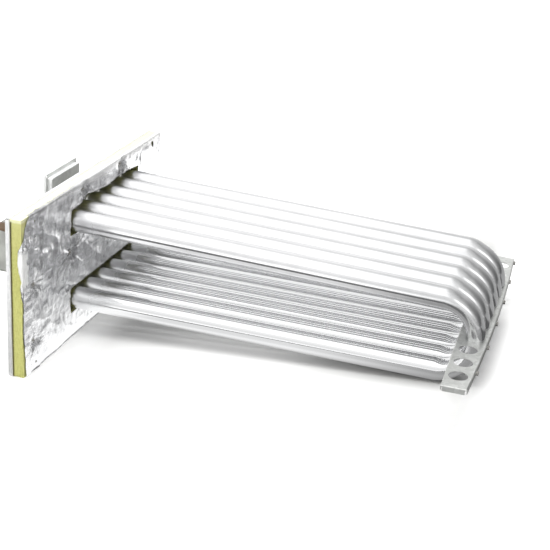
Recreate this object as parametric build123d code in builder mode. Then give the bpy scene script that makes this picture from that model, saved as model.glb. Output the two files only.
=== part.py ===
from build123d import *
from math import cos, radians, sin, tan
import os

# Tubular heat exchanger of a gas furnace, in millimetres.
# Six tubes leave a folded steel panel in an upper row, turn down at the far end, pass through a
# support bracket and come back to the panel in a lower row. Foil-faced glass fibre board covers
# the panel on the tube side. A flue collector box closes the upper row behind the panel, and an
# outlet adapter on the box takes the draught fan.
# Frame: the origin is the centre of the panel's rear face, +X runs along the tubes, +Z is up.

# Panel
panel_width = 748.0
panel_above_row = 80.5
panel_below_row = 90.5
panel_sheet = 1.2
panel_flange = 8.0
fold_radius = 2.0
corner_relief = 3.0

# Tubes
tube_od = 50.8
tube_wall = 1.2
tube_count = 6
tube_pitch = 63.5
first_tube_y = -117.5
row_spacing = 187.0
upper_fall = 2.34
lower_fall = 0.71
tube_stub = 12.0
lean_radius = 400.0

# Return bends, pressed flat in the plane of the bend
bend_x = 936.0
bend_neck = 6.88
bend_thickness = 40.0
bend_breadth = 52.0
flat_from = 0.34

# Tube ends in the panel
panel_hole_clearance = 0.25
tube_tail = 3.0
lip_od = 57.0
lip_thickness = 1.2
bead_od = 56.0
bead_width = 4.0

# Support bracket
bracket_length = 747.0
bracket_end_y = -360.5
bracket_sheet = 1.2
bracket_below_middle = 18.5
bracket_depth = 12.0
bracket_end_inner_x = 904.0
bracket_end_outer_x = 956.0
inner_bow = 4.5
outer_bow = 9.0
bracket_fold_radius = 2.2
bracket_corner_notch = 4.0
bracket_fit = 0.3
spare_holes_near = 3
spare_holes_far = 2
spare_hole_diameter = 39.0

# Bracket screws
bracket_screw_count = 6
bracket_screw_near_margin = 93.5
bracket_screw_far_margin = 13.5
bracket_screw_drop = 7.0
screw_shank = 4.0
screw_length = 9.0
screw_head_across = 8.0
screw_head_height = 3.4
screw_washer_diameter = 9.6
screw_washer_thickness = 0.9
screw_fit = 0.15
screw_tip_clearance = 0.7

# Insulation board and its foil
board_thickness = 27.9
board_side_margin = 3.2
board_top_margin = 1.5
board_foot_margin = 1.0
foil_thickness = 0.5
slot_end_reach = 28.6
slot_half_height = 30.0
foil_corner_across = 33.0
foil_corner_drop = 15.0
foil_lap = 8.0
foil_lap_foot_z = 36.0
foil_lap_top_z = 104.0
access_hole_diameter = 13.0

# Upper slot's torn top edge: across the panel, and up from the slot's straight end
torn_edge = [
    (-120.0, 1.5), (-86.0, 8.0), (-58.0, 14.0), (-30.0, 9.5), (47.0, 2.5), (113.0, 8.0), (170.0, 5.5),
]

# Insulation pins: one row near the top edge, one at mid height, one near the foot
top_pins = [(-72.5, 20.0), (132.5, 18.5)]
middle_pins = [(-139.0, 26.5), (105.0, 12.0)]
pin_side_margin = 53.3
near_pin_inset = 5.5
side_pin_z = 15.5
foot_pin_margin = 65.0
pin_diameter = 2.7
pin_tip = 3.0
clip_diameter = 12.0
clip_thickness = 0.6
clip_fit = 0.15
dimple_diameter = 28.0
dimple_depth = 9.0
pin_fit = 0.3
clip_seat_margin = 0.5

# Panel bolts, one near each corner
bolt_side_margin = 57.5
bolt_end_margin = 17.0
bolt_hole_diameter = 5.5

# Flue collector box
collector_side_margin = 16.0
collector_height = 95.0
collector_rise = 1.0
collector_depth = 50.0
collector_sheet = 1.0
collector_lip = 10.0
collector_corner_radius = 6.0
gasket_thickness = 1.5
collector_screw_columns = 4
collector_screw_margin = 50.5

# Outlet adapter
outlet_y = -5.5
outlet_bore = 76.0
adapter_width = 141.0
adapter_top_z = 170.0
adapter_foot_z = 56.0
adapter_depth = 13.0
adapter_rim = 8.0
adapter_rim_turn = 4.5
adapter_sheet = 1.0
adapter_corner_radius = 4.0
adapter_hole_diameter = 4.5
outlet_screw_spacing_y = 104.0
outlet_screw_spacing_z = 70.0
outlet_gasket_width = 124.0
outlet_gasket_height = 82.0

# Sizes that follow from the ones above
tube_radius = tube_od / 2
panel_height = row_spacing + panel_above_row + panel_below_row
upper_row_z = panel_height / 2 - panel_above_row
lower_row_z = upper_row_z - row_spacing
panel_front = panel_sheet
lean_x = panel_front + tube_stub
upper_angle = radians(upper_fall)
lower_angle = radians(lower_fall)
legs_close_in = (bend_x - lean_x) * (tan(upper_angle) - tan(lower_angle))
bend_radius = (row_spacing - legs_close_in - bend_neck) / (
    cos(upper_angle) + cos(lower_angle)
    - (1 - sin(upper_angle)) * tan(upper_angle) + (1 + sin(lower_angle)) * tan(lower_angle))
board_front = panel_front + board_thickness
board_width = panel_width - 2 * board_side_margin
board_top = panel_height / 2 - board_top_margin
board_foot = -panel_height / 2 + board_foot_margin
tube_ys = [first_tube_y + number * tube_pitch for number in range(tube_count)]
last_tube_y = tube_ys[-1]
spare_ys = [first_tube_y - (number + 1) * tube_pitch for number in range(spare_holes_near)]
spare_ys += [last_tube_y + (number + 1) * tube_pitch for number in range(spare_holes_far)]
bracket_top_z = (upper_row_z + lower_row_z) / 2 - bracket_below_middle
bracket_mid_y = bracket_end_y + bracket_length / 2
bracket_screw_room = bracket_length - bracket_screw_near_margin - bracket_screw_far_margin
bracket_screw_spacing = bracket_screw_room / (bracket_screw_count - 1)
bolt_spacing_y = panel_width - 2 * bolt_side_margin
bolt_spacing_z = panel_height - 2 * bolt_end_margin
pin_side_y = board_width / 2 - pin_side_margin
pin_places = [(near_pin_inset - pin_side_y, side_pin_z), (pin_side_y, side_pin_z)]
pin_places += [(side * pin_side_y, board_foot + foot_pin_margin) for side in (-1, 1)]
pin_places += middle_pins + [(y, board_top - drop) for y, drop in top_pins]
collector_width = panel_width - 2 * collector_side_margin
collector_screw_spacing = (collector_width - 2 * collector_screw_margin) / (collector_screw_columns - 1)
collector_z = upper_row_z + collector_rise
collector_mouth = -gasket_thickness
collector_back = -collector_depth
adapter_front = collector_back - gasket_thickness
adapter_height = adapter_top_z - adapter_foot_z
adapter_z = (adapter_top_z + adapter_foot_z) / 2
screw_bore = screw_shank + 2 * screw_fit
slot_near_y = first_tube_y - slot_end_reach
slot_far_y = last_tube_y + slot_end_reach
foil_front = board_front + foil_thickness
dimple_floor = board_front - dimple_depth
clip_seat = dimple_floor + foil_thickness
clip_seat_radius = clip_diameter / 2 + clip_seat_margin
lip_back = collector_mouth - collector_sheet
screw_pocket_depth = lip_back + screw_length + screw_tip_clearance - panel_front
adapter_back = adapter_front - adapter_depth
notch_x = (bracket_end_inner_x + bracket_end_outer_x) / 2

os.makedirs("parts", exist_ok=True)


def rear_plane(x):
    """The plane across the tubes at x, with its own x along +Y, its own y up and its normal +X."""
    return Plane(origin=(x, 0, 0), x_dir=(0, 1, 0), z_dir=(1, 0, 0))


def save(part, name):
    """Labels one finished piece and writes it."""
    part.label = name
    export_step(part, f"parts/{name}.step")


# Vestibule panel: a pan with short flanges turned back, notched at its corners
with BuildPart() as vestibule_panel:
    with BuildSketch(rear_plane(-panel_flange)):
        Rectangle(panel_width, panel_height)
    extrude(amount=panel_flange + panel_sheet)
    fillet(vestibule_panel.faces().sort_by(Axis.X)[-1].edges(), fold_radius)
    offset(amount=-panel_sheet, openings=vestibule_panel.faces().sort_by(Axis.X)[0])
    with BuildSketch(rear_plane(-panel_flange)):
        with GridLocations(panel_width, panel_height, 2, 2):
            Rectangle(2 * corner_relief, 2 * corner_relief)
    extrude(amount=panel_flange, mode=Mode.SUBTRACT)
    with BuildSketch(rear_plane(0)):
        for row_z in (upper_row_z, lower_row_z):
            with Locations(*[(y, row_z) for y in tube_ys]):
                Circle(tube_radius + panel_hole_clearance)
        with GridLocations(bolt_spacing_y, bolt_spacing_z, 2, 2):
            Circle(bolt_hole_diameter / 2)
        with Locations((0, collector_z)):
            with GridLocations(collector_screw_spacing, collector_height + collector_lip,
                               collector_screw_columns, 2):
                Circle(screw_bore / 2)
    extrude(amount=panel_sheet, mode=Mode.SUBTRACT)
save(vestibule_panel.part, "vestibule_panel")


def leg_corner(row_z, angle, side):
    """Where a leg meets its bend: the point on the leaning centre line, as (x, z)."""
    x = bend_x - bend_radius + side * bend_radius * sin(angle)
    return x, row_z - (x - lean_x) * tan(angle)


upper_end = leg_corner(upper_row_z, upper_angle, 1)
lower_end = leg_corner(lower_row_z, lower_angle, -1)
neck_top_z = upper_end[1] - bend_radius * cos(upper_angle)


def tube_route():
    """The centre lines of the upper leg, the return bend and the lower leg, in the XZ plane."""
    neck_top = (bend_x, neck_top_z)
    neck_foot = (bend_x, neck_top_z - bend_neck)
    with BuildLine(Plane.XZ) as upper:
        FilletPolyline((-tube_tail, upper_row_z), (lean_x, upper_row_z), upper_end, radius=lean_radius)
    with BuildLine(Plane.XZ) as bend:
        JernArc(start=upper_end, tangent=(cos(upper_angle), -sin(upper_angle)),
                radius=bend_radius, arc_size=-(90 - upper_fall))
        Line(neck_top, neck_foot)
        JernArc(start=neck_foot, tangent=(0, -1), radius=bend_radius, arc_size=-(90 + lower_fall))
    with BuildLine(Plane.XZ) as lower:
        FilletPolyline((-tube_tail, lower_row_z), (lean_x, lower_row_z), lower_end, radius=lean_radius)
    return upper.line, bend.line, lower.line


upper_line, bend_line, lower_line = tube_route()


def section_plane(line, place):
    """The plane square to a centre line at a share of its length, with its own x along +Y."""
    return Plane(origin=line @ place, x_dir=(0, 1, 0), z_dir=line % place)


def tube_solid(inset):
    """One bent tube as a full bar, smaller than the tube's outside by inset all round."""
    round_radius = tube_radius - inset
    half_breadth = bend_breadth / 2 - inset
    half_thickness = bend_thickness / 2 - inset
    with BuildPart() as bar:
        for leg in (upper_line, lower_line):
            with BuildSketch(section_plane(leg, 0)):
                Circle(round_radius)
            sweep(path=leg)
        with BuildSketch(section_plane(bend_line, 0)):
            Circle(round_radius)
        for place in (flat_from / 2, 0.5, 1 - flat_from / 2):
            with BuildSketch(section_plane(bend_line, place)):
                Ellipse(half_breadth, half_thickness)
        with BuildSketch(section_plane(bend_line, 1)):
            Circle(round_radius)
        sweep(path=bend_line, multisection=True)
    return bar.part


def end_collar(row_z):
    """The lip behind the panel and the bead before it that hold one tube end."""
    with BuildPart() as collar:
        with BuildSketch(rear_plane(-lip_thickness)):
            with Locations((0, row_z)):
                Circle(lip_od / 2)
        extrude(amount=lip_thickness)
        with BuildSketch(rear_plane(panel_front)):
            with Locations((0, row_z)):
                Circle(bead_od / 2)
        extrude(amount=bead_width)
        rim = collar.faces().filter_by(Axis.X).sort_by(Axis.X)[-1].edges()
        fillet(rim, (bead_od - tube_od) / 2 * 0.9)
    return collar.part


tube_outside = tube_solid(0)
tube_inside = tube_solid(tube_wall)

# The six tubes: one bent, hollow form repeated at the pitch
with BuildPart() as bent_tube:
    add(tube_outside)
    add(end_collar(upper_row_z))
    add(end_collar(lower_row_z))
    add(tube_inside, mode=Mode.SUBTRACT)

for number, tube_y in enumerate(tube_ys, start=1):
    with BuildPart() as u_tube:
        with Locations((0, tube_y, 0)):
            add(bent_tube.part)
    save(u_tube.part, f"u_tube_{number}")


def hex_screw():
    """A hex washer-head screw: the head stands on z = 0 and the shank goes down from there."""
    with BuildPart() as screw:
        with BuildSketch():
            Circle(screw_washer_diameter / 2)
        extrude(amount=screw_washer_thickness)
        with BuildSketch(Plane.XY.offset(screw_washer_thickness)):
            RegularPolygon(screw_head_across / 2, 6, major_radius=False)
        extrude(amount=screw_head_height)
        with BuildSketch():
            Circle(screw_shank / 2)
        extrude(amount=-screw_length)
        chamfer(screw.faces().sort_by(Axis.Z)[0].edges(), screw_shank / 4)
    return screw.part


def bracket_seat(y):
    """Where a screw stands on the bracket's outer flange, which is an arc through its ends and middle."""
    half = bracket_length / 2
    bow_radius = (half ** 2 + outer_bow ** 2) / (2 * outer_bow)
    lean = (y - bracket_mid_y) / bow_radius
    reach = (1 - lean ** 2) ** 0.5
    x = bracket_end_outer_x + outer_bow - bow_radius + bow_radius * reach
    return Plane(origin=(x, y, bracket_top_z - bracket_screw_drop), z_dir=(reach, lean, 0))


def rear_seat(x, y, z):
    """Where a screw stands on a face that looks back, with its shank pointing along +X."""
    return Plane(origin=(x, y, z), z_dir=(-1, 0, 0))


def rectangle_places(mid_y, mid_z, spacing_y, spacing_z, columns):
    """The places of two rows of screws about a middle, as (y, z)."""
    first_y = mid_y - spacing_y * (columns - 1) / 2
    return [(first_y + number * spacing_y, mid_z + side * spacing_z / 2)
            for number in range(columns) for side in (-1, 1)]


def fasten(seats, name):
    """Puts the shared screw on every seat and writes the set as one node."""
    with BuildPart() as screws:
        with Locations(*seats):
            add(panel_screw)
    save(screws.part, name)


panel_screw = hex_screw()
first_screw_y = bracket_end_y + bracket_screw_near_margin
screw_seats = [bracket_seat(first_screw_y + number * bracket_screw_spacing)
               for number in range(bracket_screw_count)]

# Support bracket: a shallow channel, bowed out in the middle, that the tubes pass through
with BuildPart() as support_bracket:
    with BuildSketch(Plane.XY.offset(bracket_top_z)) as web:
        near_y = bracket_end_y
        far_y = bracket_end_y + bracket_length
        with BuildLine():
            ThreePointArc((bracket_end_inner_x, near_y), (bracket_end_inner_x - inner_bow, bracket_mid_y),
                          (bracket_end_inner_x, far_y))
            Line((bracket_end_inner_x, far_y), (bracket_end_outer_x, far_y))
            ThreePointArc((bracket_end_outer_x, far_y), (bracket_end_outer_x + outer_bow, bracket_mid_y),
                          (bracket_end_outer_x, near_y))
            Line((bracket_end_outer_x, near_y), (bracket_end_inner_x, near_y))
        make_face()
    extrude(amount=-bracket_depth)
    fillet(support_bracket.faces().sort_by(Axis.Z)[-1].edges(), bracket_fold_radius)
    offset(amount=-bracket_sheet, openings=support_bracket.faces().sort_by(Axis.Z)[0])
    with BuildSketch(Plane.XY.offset(bracket_top_z - bracket_depth)):
        with Locations((notch_x, bracket_mid_y)):
            with GridLocations(bracket_end_outer_x - bracket_end_inner_x, bracket_length, 2, 2):
                Rectangle(2 * bracket_corner_notch, 2 * bracket_corner_notch)
    extrude(amount=bracket_depth - bracket_fold_radius - bracket_sheet, mode=Mode.SUBTRACT)
    with BuildSketch(Plane.XY.offset(bracket_top_z)):
        with Locations(*[(bend_x, y) for y in tube_ys]):
            Ellipse(bend_thickness / 2 + bracket_fit, bend_breadth / 2 + bracket_fit)
        with Locations(*[(notch_x, y) for y in spare_ys]):
            Circle(spare_hole_diameter / 2)
    extrude(amount=-2 * bracket_sheet, mode=Mode.SUBTRACT)
    with Locations(*screw_seats):
        Cylinder(screw_bore / 2, 4 * bracket_sheet, mode=Mode.SUBTRACT)
save(support_bracket.part, "support_bracket")

fasten(screw_seats, "bracket_screws")


def slot_sketch(x):
    """Both slots that let the tubes through the board and its foil, drawn on the plane at x."""
    upper_foot = upper_row_z - slot_half_height
    upper_top = upper_row_z + slot_half_height
    torn = [(y, upper_top + rise) for y, rise in torn_edge]
    with BuildSketch(rear_plane(x)) as slots:
        with BuildLine():
            Polyline((slot_near_y, upper_foot), (slot_near_y, upper_top), *torn,
                     (slot_far_y, upper_top), (slot_far_y, upper_foot), close=True)
        make_face()
        with Locations(((slot_near_y + slot_far_y) / 2, lower_row_z)):
            Rectangle(slot_far_y - slot_near_y, 2 * slot_half_height)
    return slots.sketch


def dimple(outline):
    """A body turned about each pin from an outline of (radius, x) points, one at every pin."""
    with BuildPart() as turned:
        for pin_y, pin_z in pin_places:
            with BuildSketch(Plane(origin=(0, pin_y, pin_z), x_dir=(0, 1, 0), z_dir=(0, 0, 1))):
                with BuildLine():
                    Polyline(*[(radius, -x) for radius, x in outline], close=True)
                make_face()
            revolve(axis=Axis((0, pin_y, pin_z), (1, 0, 0)))
    return turned.part


# Insulation board: slots for the tubes, a pressed-in dimple at each pin, pockets for screw tips
with BuildPart() as insulation_board:
    with BuildSketch(rear_plane(panel_front)):
        with Locations((0, (board_top + board_foot) / 2)):
            Rectangle(board_width, board_top - board_foot)
        with GridLocations(bolt_spacing_y, bolt_spacing_z, 2, 2):
            Circle(access_hole_diameter / 2, mode=Mode.SUBTRACT)
        with Locations(*pin_places):
            Circle(pin_diameter / 2 + pin_fit, mode=Mode.SUBTRACT)
    extrude(amount=board_thickness)
    extrude(slot_sketch(panel_front), amount=board_thickness, mode=Mode.SUBTRACT)
    with BuildSketch(rear_plane(panel_front)):
        with Locations((0, collector_z)):
            with GridLocations(collector_screw_spacing, collector_height + collector_lip,
                               collector_screw_columns, 2):
                Circle(screw_bore / 2)
    extrude(amount=screw_pocket_depth, mode=Mode.SUBTRACT)
    add(dimple([(0, dimple_floor), (clip_seat_radius, dimple_floor), (dimple_diameter / 2, board_front),
                (0, board_front)]), mode=Mode.SUBTRACT)
save(insulation_board.part, "insulation_board")

# Foil facing: one sheet on the board, pressed into the dimples, torn off at the near top corner
# and folded over part of the near edge
with BuildPart() as foil_facing:
    with BuildSketch(rear_plane(board_front)):
        with Locations((0, (board_top + board_foot) / 2)):
            Rectangle(board_width, board_top - board_foot)
        with BuildLine():
            Polyline((-board_width / 2, board_top - foil_corner_drop), (-board_width / 2, board_top),
                     (foil_corner_across - board_width / 2, board_top), close=True)
        make_face(mode=Mode.SUBTRACT)
        with GridLocations(bolt_spacing_y, bolt_spacing_z, 2, 2):
            Circle(access_hole_diameter / 2, mode=Mode.SUBTRACT)
        with Locations(*pin_places):
            Circle(dimple_diameter / 2, mode=Mode.SUBTRACT)
    extrude(amount=foil_thickness)
    extrude(slot_sketch(board_front), amount=foil_thickness, mode=Mode.SUBTRACT)
    with BuildSketch(rear_plane(board_front - foil_lap)):
        with Locations((-(board_width + foil_thickness) / 2, (foil_lap_top_z + foil_lap_foot_z) / 2)):
            Rectangle(foil_thickness, foil_lap_top_z - foil_lap_foot_z)
    extrude(amount=foil_lap + foil_thickness)
    add(dimple([(pin_diameter / 2 + pin_fit, dimple_floor), (clip_seat_radius, dimple_floor),
                (dimple_diameter / 2, board_front), (dimple_diameter / 2, foil_front),
                (clip_seat_radius, clip_seat), (pin_diameter / 2 + pin_fit, clip_seat)]))
save(foil_facing.part, "foil_facing")

# Pins welded to the panel, and the clips pushed down on them
with BuildPart() as insulation_pins:
    with BuildSketch(rear_plane(panel_front)):
        with Locations(*pin_places):
            Circle(pin_diameter / 2)
    extrude(amount=clip_seat + clip_thickness + pin_tip - panel_front)
save(insulation_pins.part, "insulation_pins")

with BuildPart() as pin_clips:
    with BuildSketch(rear_plane(clip_seat)):
        with Locations(*pin_places):
            Circle(clip_diameter / 2)
            Circle(pin_diameter / 2 + clip_fit, mode=Mode.SUBTRACT)
    extrude(amount=clip_thickness)
save(pin_clips.part, "pin_clips")


def pan_block(x, depth, middle, width, height, corner, edge):
    """A block from x on by a signed depth, rounded at its four corners and round its face at x."""
    with BuildPart() as block:
        with BuildSketch(rear_plane(x)):
            with Locations(middle):
                RectangleRounded(width, height, corner)
        extrude(amount=depth)
        ends = block.faces().filter_by(Axis.X).sort_by(Axis.X)
        fillet((ends[0] if depth > 0 else ends[-1]).edges(), edge)
    return block.part


# Flue collector box: a pan that opens to the panel, with a lip all round for the screws
with BuildPart() as collector_box:
    add(pan_block(collector_back, collector_mouth - collector_back, (0, collector_z), collector_width,
                  collector_height, collector_corner_radius, fold_radius))
    add(pan_block(collector_back + collector_sheet, collector_mouth - collector_back, (0, collector_z),
                  collector_width - 2 * collector_sheet, collector_height - 2 * collector_sheet,
                  collector_corner_radius - collector_sheet, fold_radius - collector_sheet),
        mode=Mode.SUBTRACT)
    with BuildSketch(rear_plane(lip_back)):
        with Locations((0, collector_z)):
            RectangleRounded(collector_width + 2 * collector_lip, collector_height + 2 * collector_lip,
                             collector_corner_radius)
            RectangleRounded(collector_width - 2 * collector_sheet, collector_height - 2 * collector_sheet,
                             collector_corner_radius - collector_sheet, mode=Mode.SUBTRACT)
            with GridLocations(collector_screw_spacing, collector_height + collector_lip,
                               collector_screw_columns, 2):
                Circle(screw_bore / 2, mode=Mode.SUBTRACT)
    extrude(amount=collector_sheet)
    with BuildSketch(rear_plane(collector_back)):
        with Locations((outlet_y, collector_z)):
            Circle(outlet_bore / 2)
            with GridLocations(outlet_screw_spacing_y, outlet_screw_spacing_z, 2, 2):
                Circle(screw_bore / 2)
    extrude(amount=collector_sheet, mode=Mode.SUBTRACT)
save(collector_box.part, "collector_box")

with BuildPart() as collector_gasket:
    with BuildSketch(rear_plane(collector_mouth)):
        with Locations((0, collector_z)):
            RectangleRounded(collector_width + 2 * collector_lip, collector_height + 2 * collector_lip,
                             collector_corner_radius)
            RectangleRounded(collector_width - 2 * collector_sheet, collector_height - 2 * collector_sheet,
                             collector_corner_radius - collector_sheet, mode=Mode.SUBTRACT)
            with GridLocations(collector_screw_spacing, collector_height + collector_lip,
                               collector_screw_columns, 2):
                Circle(screw_bore / 2, mode=Mode.SUBTRACT)
    extrude(amount=gasket_thickness)
save(collector_gasket.part, "collector_gasket")

fasten([rear_seat(lip_back, y, z) for y, z in
        rectangle_places(0, collector_z, collector_screw_spacing, collector_height + collector_lip,
                         collector_screw_columns)], "collector_screws")

# Outlet adapter: a shallow pan on the collector's rear wall, with a turned rim for the draught fan
with BuildPart() as outlet_adapter:
    add(pan_block(adapter_front, -adapter_depth, (outlet_y, adapter_z), adapter_width, adapter_height,
                  adapter_corner_radius, fold_radius))
    add(pan_block(adapter_front - adapter_sheet, -adapter_depth, (outlet_y, adapter_z),
                  adapter_width - 2 * adapter_sheet, adapter_height - 2 * adapter_sheet,
                  adapter_corner_radius - adapter_sheet, fold_radius - adapter_sheet),
        mode=Mode.SUBTRACT)
    with BuildSketch(rear_plane(adapter_back)):
        with Locations((outlet_y, adapter_z)):
            RectangleRounded(adapter_width + 2 * adapter_rim, adapter_height + 2 * adapter_rim,
                             adapter_corner_radius)
            RectangleRounded(adapter_width - 2 * adapter_sheet, adapter_height - 2 * adapter_sheet,
                             adapter_corner_radius - adapter_sheet, mode=Mode.SUBTRACT)
            with GridLocations(adapter_width + adapter_rim, adapter_height + adapter_rim, 2, 2):
                Circle(adapter_hole_diameter / 2, mode=Mode.SUBTRACT)
    extrude(amount=adapter_sheet)
    with BuildSketch(rear_plane(adapter_back)):
        with Locations((outlet_y, adapter_z)):
            RectangleRounded(adapter_width + 2 * adapter_rim, adapter_height + 2 * adapter_rim,
                             adapter_corner_radius)
            RectangleRounded(adapter_width + 2 * (adapter_rim - adapter_sheet),
                             adapter_height + 2 * (adapter_rim - adapter_sheet),
                             adapter_corner_radius - adapter_sheet, mode=Mode.SUBTRACT)
    extrude(amount=-adapter_rim_turn)
    with BuildSketch(rear_plane(adapter_front)):
        with Locations((outlet_y, collector_z)):
            Circle(outlet_bore / 2)
            with GridLocations(outlet_screw_spacing_y, outlet_screw_spacing_z, 2, 2):
                Circle(screw_bore / 2)
    extrude(amount=-adapter_sheet, mode=Mode.SUBTRACT)
save(outlet_adapter.part, "outlet_adapter")

with BuildPart() as outlet_gasket:
    with BuildSketch(rear_plane(adapter_front)):
        with Locations((outlet_y, collector_z)):
            RectangleRounded(outlet_gasket_width, outlet_gasket_height, adapter_corner_radius)
            Circle(outlet_bore / 2, mode=Mode.SUBTRACT)
            with GridLocations(outlet_screw_spacing_y, outlet_screw_spacing_z, 2, 2):
                Circle(screw_bore / 2, mode=Mode.SUBTRACT)
    extrude(amount=gasket_thickness)
save(outlet_gasket.part, "outlet_gasket")

fasten([rear_seat(adapter_front - adapter_sheet, y, z) for y, z in
        rectangle_places(outlet_y, collector_z, outlet_screw_spacing_y, outlet_screw_spacing_z, 2)],
       "outlet_screws")
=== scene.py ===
"""Dresses a tubular furnace heat exchanger: tubes, foil-faced board, sheet metal and fasteners."""

from __future__ import annotations

import logging
from dataclasses import dataclass, field
from enum import Enum
from functools import cached_property
from math import cos, pi, radians, sin, tan
from typing import Callable, Iterator, Sequence, Union

import bpy
import numpy as np
from mathutils import Matrix, Vector


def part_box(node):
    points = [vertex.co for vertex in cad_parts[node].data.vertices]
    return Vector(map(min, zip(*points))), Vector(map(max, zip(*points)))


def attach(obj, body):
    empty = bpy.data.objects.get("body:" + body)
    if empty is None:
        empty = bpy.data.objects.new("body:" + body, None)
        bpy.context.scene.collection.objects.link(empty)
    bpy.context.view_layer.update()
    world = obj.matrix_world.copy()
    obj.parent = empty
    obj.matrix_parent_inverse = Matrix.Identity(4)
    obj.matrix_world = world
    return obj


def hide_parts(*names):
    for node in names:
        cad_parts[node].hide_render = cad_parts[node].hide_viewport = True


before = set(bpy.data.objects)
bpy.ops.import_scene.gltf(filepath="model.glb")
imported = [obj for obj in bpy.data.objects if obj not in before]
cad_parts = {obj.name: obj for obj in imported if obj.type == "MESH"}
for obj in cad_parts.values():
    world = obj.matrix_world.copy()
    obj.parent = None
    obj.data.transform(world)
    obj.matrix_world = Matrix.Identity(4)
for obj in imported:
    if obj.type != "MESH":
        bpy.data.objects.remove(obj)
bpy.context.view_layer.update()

LOG = logging.getLogger("heat_exchanger")
MM = 0.001
BODY = "root"

Colour = tuple[float, float, float]
Span = tuple[float, float]
Points = np.ndarray
WHITE: Colour = (1.0, 1.0, 1.0)


class Slot(Enum):
    """The record's material slots; nothing in the script uses them."""

    TUBE = "aluminised_tube"
    BOARD = "glass_fibre_board"
    FOIL = "foil"


def eased(share: Points) -> Points:
    """Turns shares from 0 to 1 into a smooth step."""
    return share * share * (3 - 2 * share)


def smooth(value: Points, low: float, high: float) -> Points:
    """Steps smoothly from 0 below low to 1 above high."""
    return eased(np.clip((value - low) / (high - low), 0.0, 1.0))


class Grain:
    """Smooth value noise over a plane, the same on every run."""

    CELLS = 512

    def __init__(self, seed: int) -> None:
        """Draws the lattice from a seed."""
        self.lattice = np.random.default_rng(seed).uniform(-1.0, 1.0, (self.CELLS, self.CELLS))

    def at(self, u: Points, v: Points) -> Points:
        """Reads the noise.

        Args:
            u: First coordinate, in cells.
            v: Second coordinate, in cells.

        Returns:
            Values from -1 to 1, one for each point.
        """
        u_floor, v_floor = np.floor(u).astype(int), np.floor(v).astype(int)
        u_part, v_part = eased(u - u_floor), eased(v - v_floor)
        u_low, u_high = u_floor % self.CELLS, (u_floor + 1) % self.CELLS
        v_low, v_high = v_floor % self.CELLS, (v_floor + 1) % self.CELLS
        near = self.lattice[u_low, v_low] * (1 - u_part) + self.lattice[u_high, v_low] * u_part
        far = self.lattice[u_low, v_high] * (1 - u_part) + self.lattice[u_high, v_high] * u_part
        return near * (1 - v_part) + far * v_part

    def creased(self, u: Points, v: Points) -> Points:
        """Reads the noise folded at its zero lines, which stand up as sharp ridges of height 1."""
        return 1.0 - np.abs(self.at(u, v)) * 2.0


@dataclass
class Wire:
    """One output socket of a node tree, on which sums are written as Python."""

    book: NodeBook
    socket: bpy.types.NodeSocket

    def _sum(self, operation: str, first: Term, second: Term) -> Wire:
        """Adds one Math node for an operator."""
        return self.book.add("Math", {0: first, 1: second}, operation=operation)

    def __add__(self, other: Term) -> Wire:
        """Adds."""
        return self._sum("ADD", self, other)

    def __radd__(self, other: Term) -> Wire:
        """Adds from the left."""
        return self._sum("ADD", other, self)

    def __sub__(self, other: Term) -> Wire:
        """Takes away."""
        return self._sum("SUBTRACT", self, other)

    def __rsub__(self, other: Term) -> Wire:
        """Is taken away from a number."""
        return self._sum("SUBTRACT", other, self)

    def __mul__(self, other: Term) -> Wire:
        """Multiplies."""
        return self._sum("MULTIPLY", self, other)

    def __rmul__(self, other: Term) -> Wire:
        """Multiplies from the left."""
        return self._sum("MULTIPLY", other, self)

    def out(self, name: str) -> Wire:
        """Takes another output of the same node."""
        return Wire(self.book, self.socket.node.outputs[name])

    def steps(self, low: float, high: float) -> Wire:
        """Goes smoothly from 0 at low to 1 at high."""
        return self.book.add("MapRange", {"Value": self, "From Min": low, "From Max": high},
                             interpolation_type="SMOOTHSTEP")

    def falls(self, low: float, high: float) -> Wire:
        """Goes smoothly from 1 at low to 0 at high."""
        return 1.0 - self.steps(low, high)

    def within(self, rise: Span, fall: Span) -> Wire:
        """Goes smoothly from 0 to 1 over one span, and back to 0 over another."""
        return self.steps(*rise) * self.falls(*fall)


Term = Union[Wire, float]


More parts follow.
